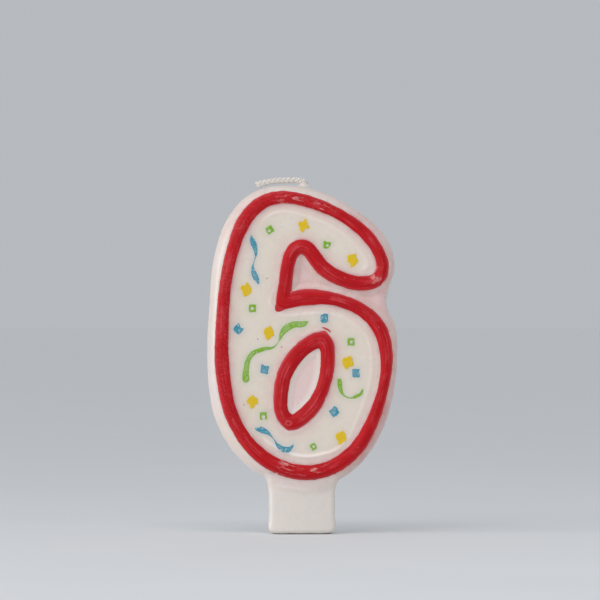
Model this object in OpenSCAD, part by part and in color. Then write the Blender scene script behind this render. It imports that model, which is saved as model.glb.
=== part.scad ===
// Number birthday candle: a cast wax numeral six on a stem that pushes into a cake.
// A red wax bead runs round the numeral and its counter, ink confetti is printed on the panel
// between the beads, and a cotton wick is cast through the wax and folded over at the top.
//
// Frame: X to the right, Z up, the numeral faces -Y. The origin is the middle of the stem's foot.
// The profiles below are drawn in the X-Z plane and given their thickness along Y.

/* [Wax body] */
// Depth of the flat back behind the wick, and of the stem's front face before it
back_depth = 4.2; // [3.5:0.1:4.4]
// Depth of the wax edge's surface in front of the wick
margin_depth = 4.6; // [4.5:0.1:6]
// How far back the rounded front edge reaches
shoulder_depth = 1.9; // [0.8:0.1:2.6]
// How far in from the silhouette the rounded front edge reaches
shoulder_width = 1.5; // [0.6:0.1:1.8]
// Height of the numeral above the wax edge
relief_height = 0.8; // [0.4:0.1:1.4]

/* [Stem] */
// Radius of the foot's front and back edges
foot_radius = 1.1; // [0.4:0.1:1.8]

/* [Red beads] */
// Height of the beads above the numeral
bead_height = 0.6; // [0.4:0.1:1.4]

/* [Wick] */
// Diameter of the wick
wick_diameter = 1.4; // [0.8:0.1:1.8]
// Distance of the wick to the right of the stem's middle
wick_side = 0.6; // [-2:0.1:2]
// Height of the wick's lower end above the foot
wick_start = 4; // [2:0.5:8]

/* [Confetti] */
// Thickness of the printed ink
ink_thickness = 0.15; // [0.1:0.05:0.3]
// Side of a yellow square
yellow_side = 2.1; // [1.5:0.1:2.4]
// Side of a blue square
blue_side = 1.8; // [1.2:0.1:2.2]
// Outer side of a green square frame
green_side = 1.6; // [1.2:0.1:2]
// Side of the hole in a green square frame
green_hole = 0.6; // [0.3:0.1:0.8]

/* [Quality] */
// Points to each stretch of a curve between two knots
curve_steps = 4; // [3:1:6]
// Points across a bead's domed top
bead_points = 9; // [7:2:13]
// Sides of the wick's tube
wick_sides = 8; // [8:1:12]

/* [Hidden] */
// Centreline of the outer bead as [x, z, bead width]. It starts and ends at the sharp corner of the
// notch and runs up the notch, out along the arm, over the top, down the back and round the bowl.
OUTLINE = [
    [-4.1, 50.75, 3.2], [-3.6, 54.5, 3.0], [-3.1, 58.2, 2.9], [-2.2, 61.2, 3.1], [-0.5, 62.7, 3.2],
    [1.6, 61.9, 3.2], [4.2, 58.4, 3.2], [7.8, 56.0, 3.2], [12.4, 54.7, 3.2], [16.2, 55.4, 3.0],
    [17.6, 58.2, 2.8], [16.6, 61.8, 2.5], [13.6, 65.8, 2.6], [8.6, 69.5, 2.4], [2.5, 72.2, 2.6],
    [-3.5, 73.5, 2.7], [-8.5, 72.4, 2.9], [-12.3, 68.7, 3.1], [-14.9, 62.5, 2.8], [-16.6, 54.8, 2.6],
    [-17.3, 46.0, 2.8], [-17.4, 37.5, 3.1], [-16.2, 29.0, 3.0], [-13.6, 22.6, 2.9], [-9.4, 17.5, 3.2],
    [-4.0, 14.4, 3.3], [1.5, 13.5, 3.3], [7.0, 14.9, 3.2], [12.0, 18.9, 3.1], [15.6, 25.2, 2.7],
    [17.9, 32.8, 2.3], [18.4, 39.5, 2.8], [16.7, 45.3, 3.1], [12.4, 49.3, 2.8], [6.5, 51.4, 2.8],
    [0.8, 51.7, 3.6], [-4.1, 50.75, 3.2]
];
// Centreline of the bead round the counter, in the same form, as a closed loop
COUNTER = [
    [4.45, 42.55, 3.6], [1.4, 41.4, 3.4], [-1.6, 38.6, 3.4], [-3.8, 34.8, 3.3], [-4.6, 30.4, 3.1],
    [-4.4, 26.7, 3.0], [-2.6, 24.25, 3.1], [0.2, 25.7, 3.4], [2.7, 28.3, 3.2], [4.4, 31.6, 2.9],
    [5.5, 36.0, 3.0], [5.5, 40.6, 3.2]
];
// Silhouette of the cast wax without its stem, which fills the notch with a web
WAX_EDGE = [
    [18.6, 51.2], [19.4, 54.2], [20.4, 57.8], [19.9, 61.8], [17.8, 65.9], [13.7, 69.7], [8.2, 73.1],
    [2.5, 75.4], [-3.5, 76.2], [-9.1, 75.4], [-13.8, 72.4], [-17.5, 66.6], [-19.6, 58.7],
    [-20.3, 50.0], [-20.8, 41.0], [-20.4, 31.5], [-18.8, 24.4], [-15.0, 17.7], [-9.6, 12.9],
    [-4.2, 10.4], [1.8, 9.9], [8.4, 11.8], [13.8, 16.2], [17.8, 22.6], [20.0, 29.5], [21.0, 38.0],
    [20.7, 45.0], [19.1, 48.6]
];
// One side of the stem from the foot up to where it flares into the numeral
STEM_SIDE = [[6.4, 0], [7.3, 0.4], [7.6, 1.4], [7.3, 3.2], [7.3, 6.2], [7.35, 9.2], [7.9, 11.2], [9.3, 13.2]];
// Centreline of the wick: straight up through the wax, then folded over to the left
WICK_ROUTE = [
    [wick_side, wick_start], [wick_side, 40], [wick_side, 74], [wick_side, 76.1], [0.3, 76.9],
    [-0.8, 77.3], [-3.5, 77.3], [-6.4, 77.1], [-8.8, 76.6], [-10.1, 76.1]
];
wick_free_start = 2; // index of the last knot of WICK_ROUTE on its straight stretch

// Places of the printed squares as [x, z, turn in degrees]
YELLOW = [[0.4, 67.3, 32], [11.1, 59.7, 22], [-12.2, 53.4, 30], [-7.2, 43.9, 27], [10.0, 37.5, 25],
          [-10.8, 28.9, 35], [8.5, 21.1, 25]];
GREEN = [[-7.0, 66.4, 30], [5.5, 63.1, 74], [-10.8, 49.3, 0], [10.7, 42.0, 2], [-8.4, 25.9, 4],
         [2.5, 19.2, 12]];
BLUE = [[-13.8, 44.8, 45], [4.9, 47.1, 2], [-8.1, 36.0, -10], [11.8, 35.2, 0], [7.0, 26.8, 38]];
// Printed streamers as [x, z, width]
GREEN_STREAMER_1 = [
    [1.4, 46.5, 0.2], [0.8, 46.1, 1.0], [0.0, 45.8, 1.4], [-1.6, 45.8, 1.4], [-3.3, 45.0, 1.6],
    [-4.4, 43.7, 1.1], [-5.0, 42.2, 0.3], [-6.2, 40.8, 0.4], [-8.0, 40.5, 0.9], [-10.2, 39.8, 1.1],
    [-11.6, 38.3, 1.1], [-12.2, 35.6, 1.35], [-12.2, 34.0, 1.6], [-12.2, 33.4, 1.2], [-12.2, 33.1, 0.5]
];
GREEN_STREAMER_2 = [
    [8.1, 34.0, 0.9], [8.2, 33.0, 1.15], [8.4, 31.8, 0.95], [8.8, 30.7, 0.6], [9.7, 30.0, 0.35],
    [10.8, 29.8, 0.45], [12.0, 30.2, 0.75], [12.9, 30.8, 0.65], [13.3, 31.9, 0.25]
];
BLUE_STREAMER_1 = [
    [-11.1, 65.3, 0.2], [-11.0, 64.6, 0.8], [-10.6, 63.6, 1.3], [-10.2, 62.4, 1.1], [-10.0, 61.1, 0.6],
    [-10.3, 59.8, 0.2], [-10.7, 58.4, 0.5], [-10.5, 57.1, 1.15], [-10.0, 55.9, 1.3], [-9.6, 55.1, 0.8],
    [-9.4, 54.5, 0.2]
];
BLUE_STREAMER_2 = [
    [-10.2, 23.3, 0.3], [-9.6, 23.0, 1.0], [-8.7, 22.8, 1.4], [-7.6, 22.3, 1.0], [-6.8, 21.6, 0.45],
    [-5.9, 20.5, 0.3], [-5.2, 19.4, 0.9], [-4.2, 18.7, 1.25], [-3.2, 18.5, 1.3], [-2.4, 18.9, 0.85],
    [-1.8, 19.7, 0.25]
];

panel_y = -(margin_depth + relief_height); // front face of the raised numeral
wax_top = 76.2;
notch_clearance = 3; // how far the outer bead's stations stay off the notch's sharp corner
counter_clearance = 1.4; // how far the counter bead's stations stay off the counter's two tips
shoulder_rings = 4;
union_overlap = 0.3; // how far joined solids of one casting run into each other

// ---- Curves -------------------------------------------------------------------------------------

// A Catmull-Rom curve between b and c, with a and d the knots on either side
function between(a, b, c, d, t) =
    0.5 * (2 * b + (c - a) * t + (2 * a - 5 * b + 4 * c - d) * t * t + (3 * b - a - 3 * c + d) * t * t * t);

// A smooth curve through open knots, ending at the last one
function open_curve(knots, steps = curve_steps) = let (last = len(knots) - 1) [
    for (i = [0:last - 1], s = [0:steps - 1])
        between(knots[max(i - 1, 0)], knots[i], knots[i + 1], knots[min(i + 2, last)], s / steps),
    knots[last]
];

// A smooth closed curve through knots
function closed_curve(knots, steps = curve_steps) = let (n = len(knots)) [
    for (i = [0:n - 1], s = [0:steps - 1])
        between(knots[(i + n - 1) % n], knots[i], knots[(i + 1) % n], knots[(i + 2) % n], s / steps)
];

function flat(p) = [p[0], p[1]];
function unit(v) = v / norm(v);
function left_of(v) = [-v[1], v[0]];
function reversed(list) = [for (i = [len(list) - 1:-1:0]) list[i]];

// The sideways direction at each point, lengthened at a corner so that both sides stay parallel
function sideways(path, closed) = let (n = len(path)) [
    for (i = [0:n - 1]) let (
        before = closed ? path[(i + n - 1) % n] : path[max(i - 1, 0)],
        after = closed ? path[(i + 1) % n] : path[min(i + 1, n - 1)],
        into = left_of(unit(i == 0 && !closed ? flat(after - path[i]) : flat(path[i] - before))),
        out = left_of(unit(i == n - 1 && !closed ? flat(path[i] - before) : flat(after - path[i]))),
        middle = unit(into + out)
    ) middle / (middle * into)
];

// A path moved sideways by a share of each point's own width
function edge_of(path, share, closed = true) = let (side = sideways(path, closed))
    [for (i = [0:len(path) - 1]) flat(path[i]) + side[i] * path[i][2] * share];

// The stations of a curve that aren't close beside a corner; the corners themselves are kept
function clear_of(path, corners, clearance) = [
    for (p = path)
        let (gap = min([for (c = corners) norm(flat(p) - flat(c))]))
            if (gap < 0.001 || gap > clearance) p
];

outline_curve = open_curve(OUTLINE);
outline_path = clear_of([for (i = [0:len(outline_curve) - 2]) outline_curve[i]], [OUTLINE[0]], notch_clearance);
counter_path = clear_of(closed_curve(COUNTER), [COUNTER[0], COUNTER[6]], counter_clearance);
wax_edge = closed_curve(WAX_EDGE);
wax_side = sideways(wax_edge, true);

// ---- Solids -------------------------------------------------------------------------------------

// Gives a profile drawn in X-Z its thickness, from back_y forward to front_y
module plate(back_y, front_y) {
    translate([0, back_y, 0])
        rotate([90, 0, 0])
            linear_extrude(back_y - front_y)
                children();
}

// Triangles over a skin of rings, each with the same number of points; a loop joins last to first
function skin(rings, points, loop) = [
    for (r = [0:rings - (loop ? 1 : 2)], p = [0:points - 1]) let (
        a = r * points + p,
        b = r * points + (p + 1) % points,
        c = ((r + 1) % rings) * points + (p + 1) % points,
        d = ((r + 1) % rings) * points + p
    ) each [[a, b, c], [a, c, d]]
];

// A bead with a domed top, standing on the numeral
module bead(path) {
    side = sideways(path, true);
    sections = [
        for (i = [0:len(path) - 1], a = [0:bead_points - 1]) let (
            angle = 180 * a / (bead_points - 1),
            across = side[i] * path[i][2] / 2 * cos(angle),
            place = flat(path[i]) + across
        ) [place[0], panel_y - bead_height * sin(angle), place[1]]
    ];
    polyhedron(sections, skin(len(path), bead_points, true), convexity = 8);
}

// The numeral's rounded front edge, as a strip that runs round the silhouette
module shoulder() {
    inner = shoulder_width + union_overlap;
    section = concat(
        [[0, -union_overlap]],
        [for (i = [0:shoulder_rings]) let (angle = 90 * i / shoulder_rings)
            [shoulder_width * (1 - cos(angle)), shoulder_depth * sin(angle)]],
        [[inner, shoulder_depth], [inner, -union_overlap]]
    );
    polyhedron(
        [for (i = [0:len(wax_edge) - 1], s = section) let (place = wax_edge[i] + wax_side[i] * s[0])
            [place[0], shoulder_depth - margin_depth - s[1], place[1]]],
        skin(len(wax_edge), len(section), true),
        convexity = 8
    );
}

// The numeral itself, standing above the wax edge, the notch's web and the counter
module numeral() {
    plate(-margin_depth + union_overlap, panel_y)
        difference() {
            polygon(edge_of(outline_path, -0.5));
            polygon(edge_of(counter_path, 0.5));
        }
}

// The stem, with a foot that flares slightly and is rounded on every edge
module stem() {
    side = open_curve(STEM_SIDE);
    top = STEM_SIDE[len(STEM_SIDE) - 1][1];
    flat_depth = back_depth - foot_radius;
    intersection() {
        plate(back_depth, -back_depth)
            polygon(concat(side, [for (p = reversed(side)) [-p[0], p[1]]]));
        rotate([90, 0, 90])
            linear_extrude(4 * top, center = true) {
                translate([-back_depth, foot_radius]) square([2 * back_depth, top]);
                translate([-flat_depth, 0]) square([2 * flat_depth, top]);
                for (y = [-flat_depth, flat_depth])
                    translate([y, foot_radius]) circle(foot_radius, $fn = 48);
            }
    }
}

module wax_body() {
    color([0.93, 0.90, 0.86])
        difference() {
            union() {
                plate(back_depth, shoulder_depth - margin_depth) polygon(wax_edge);
                plate(back_depth, -margin_depth) polygon(wax_edge + wax_side * shoulder_width);
                shoulder();
                numeral();
                stem();
                // The cone of wax that climbs the wick where it comes out
                translate([wick_side, 0, wax_top - 1.2])
                    cylinder(h = 1.5, r1 = 2.2, r2 = wick_diameter / 2 + 0.15, $fn = 32);
            }
            // The channel that the wick is cast into
            translate([wick_side, 0, wick_start])
                cylinder(h = wax_top - wick_start + 2, d = wick_diameter, $fn = 32);
        }
}

module wick() {
    straight = [for (i = [0:wick_free_start - 1]) WICK_ROUTE[i]];
    free = [for (i = [wick_free_start:len(WICK_ROUTE) - 1]) WICK_ROUTE[i]];
    path = concat(straight, open_curve(free));
    side = sideways(path, false);
    n = len(path);
    color([0.90, 0.88, 0.84])
        polyhedron(
            [for (i = [0:n - 1], a = [0:wick_sides - 1]) let (
                angle = 360 * a / wick_sides,
                place = path[i] + unit(side[i]) * cos(angle) * wick_diameter / 2
            ) [place[0], sin(angle) * wick_diameter / 2, place[1]]],
            concat(
                skin(n, wick_sides, false),
                [reversed([for (a = [0:wick_sides - 1]) a]), [for (a = [0:wick_sides - 1]) (n - 1) * wick_sides + a]]
            )
        );
}

module outline_bead() {
    color([0.75, 0.12, 0.16]) bead(outline_path);
}

module counter_bead() {
    color([0.75, 0.12, 0.16]) bead(counter_path);
}

// A shape printed on the numeral's panel at [x, z, turn]
module print_at(place) {
    plate(panel_y, panel_y - ink_thickness)
        translate(flat(place))
            rotate(place[2])
                children();
}

module yellow_square(place) {
    color([0.93, 0.78, 0.12]) print_at(place) square(yellow_side, center = true);
}

module blue_square(place) {
    color([0.25, 0.58, 0.72]) print_at(place) square(blue_side, center = true);
}

module green_square(place) {
    color([0.45, 0.72, 0.24])
        print_at(place)
            difference() {
                square(green_side, center = true);
                square(green_hole, center = true);
            }
}

// A printed ribbon that swells and narrows along its curve
module streamer(knots, ink) {
    path = open_curve(knots);
    color(ink)
        plate(panel_y, panel_y - ink_thickness)
            polygon(concat(edge_of(path, 0.5, false), reversed(edge_of(path, -0.5, false))));
}

wax_body();
wick();
outline_bead();
counter_bead();
for (i = [1:len(YELLOW)])
    yellow_square(YELLOW[i - 1]);
for (i = [1:len(GREEN)])
    green_square(GREEN[i - 1]);
for (i = [1:len(BLUE)])
    blue_square(BLUE[i - 1]);
streamer(GREEN_STREAMER_1, [0.45, 0.72, 0.24]);  // green_streamer_1
streamer(GREEN_STREAMER_2, [0.45, 0.72, 0.24]);  // green_streamer_2
streamer(BLUE_STREAMER_1, [0.25, 0.58, 0.72]);  // blue_streamer_1
streamer(BLUE_STREAMER_2, [0.25, 0.58, 0.72]);  // blue_streamer_2
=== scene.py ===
import math

import bmesh
import bpy
import numpy as np
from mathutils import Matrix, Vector
from mathutils.geometry import delaunay_2d_cdt
from mathutils.kdtree import KDTree


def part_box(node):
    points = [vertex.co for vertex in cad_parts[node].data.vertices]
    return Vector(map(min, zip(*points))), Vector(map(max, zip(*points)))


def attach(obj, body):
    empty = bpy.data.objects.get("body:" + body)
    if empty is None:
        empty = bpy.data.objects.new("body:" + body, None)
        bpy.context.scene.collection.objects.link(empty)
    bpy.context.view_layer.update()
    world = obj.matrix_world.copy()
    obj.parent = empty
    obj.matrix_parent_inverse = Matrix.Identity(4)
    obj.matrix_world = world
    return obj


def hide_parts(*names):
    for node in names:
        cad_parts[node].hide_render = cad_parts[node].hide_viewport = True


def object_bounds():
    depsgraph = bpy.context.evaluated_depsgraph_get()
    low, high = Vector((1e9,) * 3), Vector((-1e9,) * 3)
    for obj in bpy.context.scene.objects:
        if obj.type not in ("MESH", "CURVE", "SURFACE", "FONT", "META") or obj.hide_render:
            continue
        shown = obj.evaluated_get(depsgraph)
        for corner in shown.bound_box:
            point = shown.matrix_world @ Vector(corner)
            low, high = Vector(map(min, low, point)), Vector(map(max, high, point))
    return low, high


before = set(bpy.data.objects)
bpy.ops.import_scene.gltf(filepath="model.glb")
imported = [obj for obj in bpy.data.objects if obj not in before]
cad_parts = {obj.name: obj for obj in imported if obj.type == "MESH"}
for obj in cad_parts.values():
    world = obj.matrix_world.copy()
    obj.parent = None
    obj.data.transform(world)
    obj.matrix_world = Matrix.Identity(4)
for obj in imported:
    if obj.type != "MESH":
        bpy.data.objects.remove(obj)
cad_low, cad_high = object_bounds()

# ---- Sizes ----
# Lengths are millimetres here and in the shape code; meshes are made in metres by MM.
# The numeral faces -Y. Its profiles are worked out in the X-Z plane, so a 2D point is (x, z), and
# "lift" is how far the wax stands towards the viewer from the level of the numeral's margin.
MM = 0.001

# Levels, from the CAD nodes
CREST_Y, PANEL_Y = (corner.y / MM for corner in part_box("outline_bead"))
BACK_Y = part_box("wax_body")[1].y / MM
PANEL_LIFT = 0.8
MARGIN_Y = PANEL_Y + PANEL_LIFT
CREST_LIFT = MARGIN_Y - CREST_Y
STEM_LIFT = MARGIN_Y + BACK_Y  # the stem is as deep in front of the wick as behind it

# Relief of the face
LIP_PLACE = 1.8  # distance from the outline's bead to the thin lip that frames the panel
LIP_WIDTH = 0.38
LIP_LIFT = 0.16
NEAR_LIP_PLACE = 0.5  # and beside the notch and the counter
CUSHION_LIFT = 0.1  # soft swell of the panel towards every bead
BEAD_FILLET = 0.1  # height of the wax that climbs a bead's foot
BEAD_FILLET_REACH = 0.24
OUTER_LIFT = 0.7  # lift of the margin right beside a bead
OUTER_FALL = 0.62  # how much of it is gone where the margin or the web is flat
OUTER_FALL_REACH = 1.7
STEM_DOME = 0.55
CREASE_Z = 9.676
CREASE_SLOPE = 0.14
CREASE_LIFT = 0.1
# Small lumps: x, z, reach and lift
LUMPS = [
    (-1.2, 28.4, 0.4, 0.16), (-1.6, 26.9, 0.3, 0.12), (2.6, 38.9, 0.4, 0.14), (13.9, 57.9, 0.6, 0.14),
]
RIDGE_LIFT = 1.2  # wax ridge under the red coat
COAT_EDGE = 0.03  # thickness of the red coat at its edge
COAT_EDGE_WIDTH = 0.22  # and how far in the coat takes to reach it

# Rounded edges of the casting
SHOULDER_WIDTH = 1.7
SHOULDER_DEPTH = 2.1
STEM_SHOULDER = 0.95
BACK_ROUND = 0.4
FOOT_ROUND = 1.1
DRAFT = 0.15  # the front is this much smaller all round than the back
BOTTOM_MARGIN = 1.95  # width of the margin below the numeral's lowest bead

# Wick: a flat plait of three strands, along the same line as the CAD node
WICK_ROUTE = [
    (0.6, 4), (0.6, 40), (0.6, 74), (0.6, 76.1), (0.3, 76.9),
    (-0.8, 77.3), (-3.5, 77.3), (-6.4, 77.1), (-8.8, 76.6), (-10.1, 76.1),
]
WICK_WIDTH = 1.4
STRAND_RADIUS = 0.4
PLAIT_PITCH = 3.2
INK_FILM = 0.035
FILM_EDGE = 0.14  # how far in a printed film takes to reach it

# Places where the red coat is rubbed thin: x, z and how far it reaches
WORN_PLACES = [
    (-2.2, 74.1, 2.6), (2.2, 14.8, 2.6), (16.5, 56.0, 2.0), (4.6, 71.0, 1.6), (-3.0, 15.2, 1.8),
]
BLUNT_CORNER = (-4.8, 48.8)  # where the outline's coat has run down at the notch's lower corner
BLUNT_DROP = 0.38
# A ring where the stroke round the counter ended, and a smear beside that stroke's top
KNOT_PLACE = (-2.9, 24.3)
KNOT_RADIUS = 0.62
SMEAR = [(4.3, 45.15, 0.1), (5.0, 44.95, 0.36), (5.8, 44.55, 0.36), (6.3, 44.05, 0.12)]
SMEAR_THICKNESS = 5 * INK_FILM
CONE_RADIUS = 2.4  # cone of wax that climbs the wick
CONE_RISE = 0.95

# Point spacing along the beads' crests, round the silhouette, and on the front and back faces
CREST_STEP = 0.4
EDGE_STEP = 0.36
FRONT_STEP = 0.3
BACK_STEP = 1.1
# and on the red coats and the printed films
COAT_STEP = 0.26
FILM_STEP = 0.17

rng = np.random.default_rng(6)


# ---- Loops read from the CAD nodes ----
def node_mesh(node):
    """A CAD node's corners, merged where its faces share them, and its triangles."""
    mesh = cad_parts[node].data
    corners = np.array([v.co for v in mesh.vertices]) / MM
    merged, index = np.unique(np.round(corners, 4), axis=0, return_inverse=True)
    triangles = index.reshape(-1)[np.array([p.vertices for p in mesh.polygons])]
    return merged, triangles


def edge_counts(triangles):
    """How many of the triangles use each edge."""
    pairs = np.vstack([triangles[:, [0, 1]], triangles[:, [1, 2]], triangles[:, [2, 0]]])
    return np.unique(np.sort(pairs, axis=1), axis=0, return_counts=True)


def chains(edges):
    """Puts edges that form closed rings in order, longest ring first."""
    links = {}
    for a, b in edges:
        links.setdefault(a, []).append(b)
        links.setdefault(b, []).append(a)
    rings = []
    unused = set(links)
    while unused:
        ring = [min(unused)]
        unused.discard(ring[0])
        while True:
            onward = [n for n in links[ring[-1]] if n in unused]
            if not onward:
                break
            ring.append(onward[0])
            unused.discard(onward[0])
        rings.append(ring)
    return sorted(rings, key=len, reverse=True)


def at_depth(points, y):
    """3D points from 2D points and their y."""
    return np.column_stack([points[:, 0], y, points[:, 1]])


def signed_area(loop):
    following = np.roll(loop, -1, axis=0)
    return 0.5 * np.sum(loop[:, 0] * following[:, 1] - following[:, 0] * loop[:, 1])


def anticlockwise(loop):
    return loop if signed_area(loop) > 0 else loop[::-1]


def flat_rings(node, level):
    """The edges of a node's flat face at y = level, as closed loops in X-Z, outermost first."""
    corners, triangles = node_mesh(node)
    on_level = np.abs(corners[:, 1] - level) < 0.002
    edges, counts = edge_counts(triangles[on_level[triangles].all(axis=1)])
    loops = [anticlockwise(corners[ring][:, [0, 2]]) for ring in chains(edges[counts == 1])]
    return sorted(loops, key=signed_area, reverse=True)


def crest_ring(node):
    """The line along the top of a bead, as a closed loop in X-Z."""
    corners, triangles = node_mesh(node)
    on_crest = corners[:, 1] < corners[:, 1].min() + 0.002
    edges, _ = edge_counts(triangles)
    ring = chains(edges[on_crest[edges].all(axis=1)])[0]
    return anticlockwise(corners[ring][:, [0, 2]])


def lengths_along(loop):
    steps = np.linalg.norm(np.roll(loop, -1, axis=0) - loop, axis=1)
    return np.concatenate([[0.0], np.cumsum(steps)])


def softened(values, reach, spacing):
    """A closed row of values, averaged along itself with a bell curve."""
    count = len(values)
    wave = np.fft.fftfreq(count, d=spacing)
    curve = np.exp(-2 * (math.pi * reach * wave) ** 2)
    spectrum = np.fft.fft(values, axis=0)
    return np.real(np.fft.ifft(spectrum * curve.reshape((count,) + (1,) * (values.ndim - 1)), axis=0))


def resampled(loop, spacing, reach):
    """A closed loop at even spacing, with its corners rounded over about the given reach."""
    along = lengths_along(loop)
    count = max(int(round(along[-1] / spacing)), 8)
    closed = np.vstack([loop, loop[:1]])
    fine = 8
    places = np.arange(count * fine) * along[-1] / (count * fine)
    dense = np.column_stack([np.interp(places, along, closed[:, axis]) for axis in (0, 1)])
    return softened(dense, reach, along[-1] / (count * fine))[::fine]


def left_of(steps):
    """Unit directions square to each step, on its left."""
    steps = steps / np.linalg.norm(steps, axis=1)[:, None]
    return np.column_stack([-steps[:, 1], steps[:, 0]])


def inward(loop):
    """The direction towards the inside at each point of an anticlockwise loop."""
    return left_of(np.roll(loop, -1, axis=0) - np.roll(loop, 1, axis=0))


def curve_through(points, steps):
    """A smooth line through the points (Catmull-Rom)."""
    knots = np.vstack([2 * points[0] - points[1], points, 2 * points[-1] - points[-2]])
    line = []
    for a, b, c, d in zip(knots, knots[1:], knots[2:], knots[3:]):
        squared = 2 * a - 5 * b + 4 * c - d
        cubed = 3 * b - a - 3 * c + d
        for t in np.arange(steps) / steps:
            line.append(0.5 * (2 * b + (c - a) * t + squared * t ** 2 + cubed * t ** 3))
    return np.array(line + [points[-1]])


# ---- Distances ----
def nearest(loop, points):
    """Distance from each point to a closed loop, and the place of the nearest point on the loop."""
    count = len(loop)
    tree = KDTree(count)
    for i, (x, z) in enumerate(loop):
        tree.insert((x, z, 0), i)
    tree.balance()
    corner = np.array([tree.find((x, z, 0))[1] for x, z in points], int)
    distance = np.full(len(points), np.inf)
    place = np.zeros(len(points))
    for start in ((corner - 1) % count, corner):
        step = loop[(start + 1) % count] - loop[start]
        offset = points - loop[start]
        reached = np.sum(offset * step, axis=1) / np.maximum(np.sum(step * step, axis=1), 1e-12)
        share = np.clip(reached, 0, 1)
        gap = np.linalg.norm(offset - share[:, None] * step, axis=1)
        closer = gap < distance
        distance = np.where(closer, gap, distance)
        place = np.where(closer, start + share, place)
    return distance, place


def inside(loop, points):
    """True for each point that is inside a closed loop."""
    x, z = loop[:, 0], loop[:, 1]
    x2, z2 = np.roll(x, -1), np.roll(z, -1)
    rise = np.where(np.abs(z2 - z) < 1e-12, 1e-12, z2 - z)
    hits = np.zeros(len(points), bool)
    for start in range(0, len(points), 2000):
        part = points[start:start + 2000]
        px, pz = part[:, :1], part[:, 1:]
        crossing = ((z > pz) != (z2 > pz)) & (px < (x2 - x) * (pz - z) / rise + x)
        hits[start:start + 2000] = crossing.sum(axis=1) % 2 == 1
    return hits


def gap_to(loops, points):
    """Distance from each point to the nearest of the closed loops."""
    return np.min([nearest(loop, points)[0] for loop in loops], axis=0)


def between(loops, points):
    """True for each point that is inside the first loop and outside the others."""
    hits = inside(loops[0], points)
    for loop in loops[1:]:
        hits &= ~inside(loop, points)
    return hits


def bell(points, place, reach):
    """1 at a place, falling smoothly to nothing beyond about twice its reach."""
    return np.exp(-np.sum((points - place) ** 2, axis=1) / reach ** 2)


def at_place(values, place):
    """A loop's value at fractional places along it."""
    low = np.floor(place).astype(int) % len(values)
    share = place - np.floor(place)
    return values[low] * (1 - share) + values[(low + 1) % len(values)] * share


def smoothstep(low, high, value):
    t = np.clip((value - low) / (high - low), 0, 1)
    return t * t * (3 - 2 * t)


def wobble(points, scale, seed, octaves=2):
    """Smooth random values between about -1 and 1, from a few crossing waves."""
    source = np.random.default_rng(seed)
    total = np.zeros(len(points))
    for octave in range(octaves):
        for _ in range(6):
            angle = source.uniform(0, 2 * math.pi)
            wave = 2 * math.pi / scale * 2 ** octave * source.uniform(0.7, 1.3)
            phase = source.uniform(0, 2 * math.pi)
            along = points[:, 0] * math.cos(angle) + points[:, 1] * math.sin(angle)
            total += np.sin(along * wave + phase) / 2 ** octave
    return total / 4


class Bead:
    """One raised bead: the line along its top, its half width there, and its edges on the panel."""

    def __init__(self, node, rounding, lip_place):
        self.crest = resampled(crest_ring(node), CREST_STEP, 0.42)
        self.edges = [resampled(ring, 0.35, rounding) for ring in flat_rings(node, PANEL_Y)]
        self.half = self.smoothed(gap_to(self.edges, self.crest), 0.8)
        self.length = lengths_along(self.crest)[-1]
        side = inward(self.crest)
        x, z = self.crest.T
        # The lip on the panel is strong along level runs and fades along the upright ones on the left
        strength = np.select([side[:, 1] < 0, z < 30], [0.9, 1.9], 0.3)
        level_run = smoothstep(0.5, 0.95, np.abs(side[:, 1])) * strength
        right_run = 0.4 * smoothstep(0.35, 0.9, -side[:, 0])
        self.lip = self.smoothed(np.maximum(level_run, right_run), 1.2)
        by_notch = (np.abs(x + 0.5) < 13) & (z > 51) & (side[:, 1] > 0.1)
        by_print = np.hypot(x - 12, z - 17) < 5
        places = np.select([by_notch, by_print], [NEAR_LIP_PLACE, 1.2], lip_place)
        self.lip_place = self.smoothed(places, 1.5)
        # How sharply the bead turns, from 0 on its runs to 1 at its corners
        turn = np.linalg.norm(np.roll(side, -1, axis=0) - np.roll(side, 1, axis=0), axis=1)
        self.corner = self.smoothed(smoothstep(0.5, 1.0, turn / (2 * CREST_STEP)), 0.9)

    def smoothed(self, values, reach):
        return softened(values, reach, CREST_STEP)

    def measure(self, points):
        """Distance from the bead's line, positive inside its loop, and the bead's own values there."""
        distance, place = nearest(self.crest, points)
        signed = np.where(inside(self.crest, points), distance, -distance)
        rows = (self.half, self.lip, self.lip_place)
        return signed, *(at_place(values, place) for values in rows)


outline = Bead("outline_bead", 0.27, LIP_PLACE)
counter = Bead("counter_bead", 0.3, NEAR_LIP_PLACE)


# ---- The wax face's relief ----
def face_parts(points):
    """For each point: distance past the nearest bead's edge, that bead's half width, its lip's
    strength and place, and whether the point is on the panel's side of it."""
    outer, *outer_values = outline.measure(points)
    inner, *inner_values = counter.measure(points)
    by_outline = np.abs(outer) - outer_values[0] < np.abs(inner) - inner_values[0]
    side = np.where(by_outline, outer, -inner)
    half, lip, lip_place = (np.where(by_outline, a, b) for a, b in zip(outer_values, inner_values))
    return np.abs(side) - half, half, lip, lip_place, side > 0


def roll_off(inset, width, depth):
    """How far a quarter-round edge has fallen back at a given distance in from the edge."""
    share = np.clip(1 - inset / width, 0, 1)
    return depth * (1 - np.sqrt(1 - share ** 2))


def lip_height(points, clear, lip, lip_place, width):
    """How much of the thin lip that frames the panel there is at each point."""
    size = lip_place / LIP_PLACE
    apart = clear - lip_place - 0.15 * size * wobble(points, 14, 11, 1)
    return lip * np.exp(-(apart / (width * (0.5 + 0.5 * size))) ** 2)


def in_counter(points):
    return np.hypot((points[:, 0] - 0.5) / 8, (points[:, 1] - 33) / 12) < 1


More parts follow.
